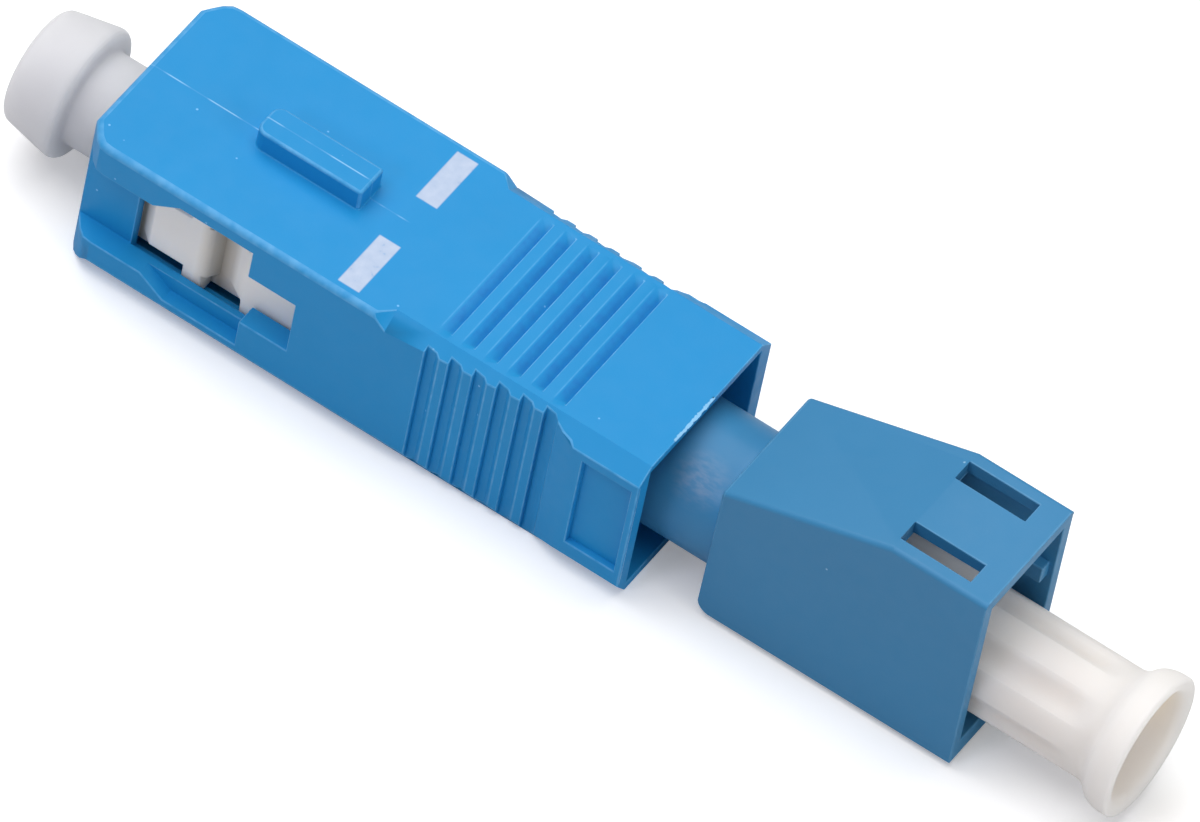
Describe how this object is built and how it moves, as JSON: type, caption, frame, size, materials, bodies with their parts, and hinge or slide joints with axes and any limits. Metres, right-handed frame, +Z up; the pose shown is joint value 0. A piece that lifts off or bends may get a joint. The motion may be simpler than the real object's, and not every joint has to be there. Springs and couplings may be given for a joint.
{
  "type": "hybrid fibre adapter",
  "caption": "Hybrid fibre adapter: blue push-pull plug with key and ribbed grip, round neck and a latch socket with a sloping roof, capped at the ferrule and plugged at the socket.",
  "frame": {"origin": "under the middle of the whole adapter, on the flat underside of the push-pull shell", "axes": "+X along the optical axis from the plug to the socket, +Z up, on the key's side"},
  "size_m": [0.0506, 0.009, 0.0098],
  "materials": {
    "shell_blue": "satin moulded",
    "socket_blue": "satin moulded",
    "frame_white": "satin moulded",
    "holder_white": "satin moulded",
    "cap_frosted": "frosted, lets light through",
    "plug_white": "satin moulded",
    "zirconia": "polished",
    "nickel_plate": "turned, nickel plated",
    "spring_steel": "drawn wire",
    "fibre_glass": "clear"
  },
  "bodies": {
    "core": {"sc_plug_frame": "frame_white", "lc_housing": "socket_blue", "split_sleeve": "zirconia", "sleeve_holder": "holder_white", "ferrule_spring": "spring_steel"},
    "grip": {"sc_outer_housing": "shell_blue"},
    "ferrule": {"sc_ferrule": "zirconia", "ferrule_body": "nickel_plate", "lc_ferrule_stub": "zirconia", "glass_fibre": "fibre_glass"},
    "sc_cap": {"sc_dust_cap": "cap_frosted"},
    "lc_plug": {"lc_dust_plug": "plug_white"}
  },
  "joints": [
    {"name": "grip_slide", "type": "slide", "parent": "core", "child": "grip", "axis": [-1, 0, 0], "range_m": [0, 0.0014]},
    {"name": "ferrule_float", "type": "slide", "parent": "core", "child": "ferrule", "axis": [1, 0, 0], "range_m": [0, 0.001], "stiffness_N_per_m": 500, "deforming": ["ferrule_spring"]},
    {"name": "sc_cap_pull", "type": "slide", "parent": "core", "child": "sc_cap", "axis": [-1, 0, 0], "range_m": [0, 0.012]},
    {"name": "lc_plug_pull", "type": "slide", "parent": "core", "child": "lc_plug", "axis": [1, 0, 0], "range_m": [0, 0.014]}
  ]
}
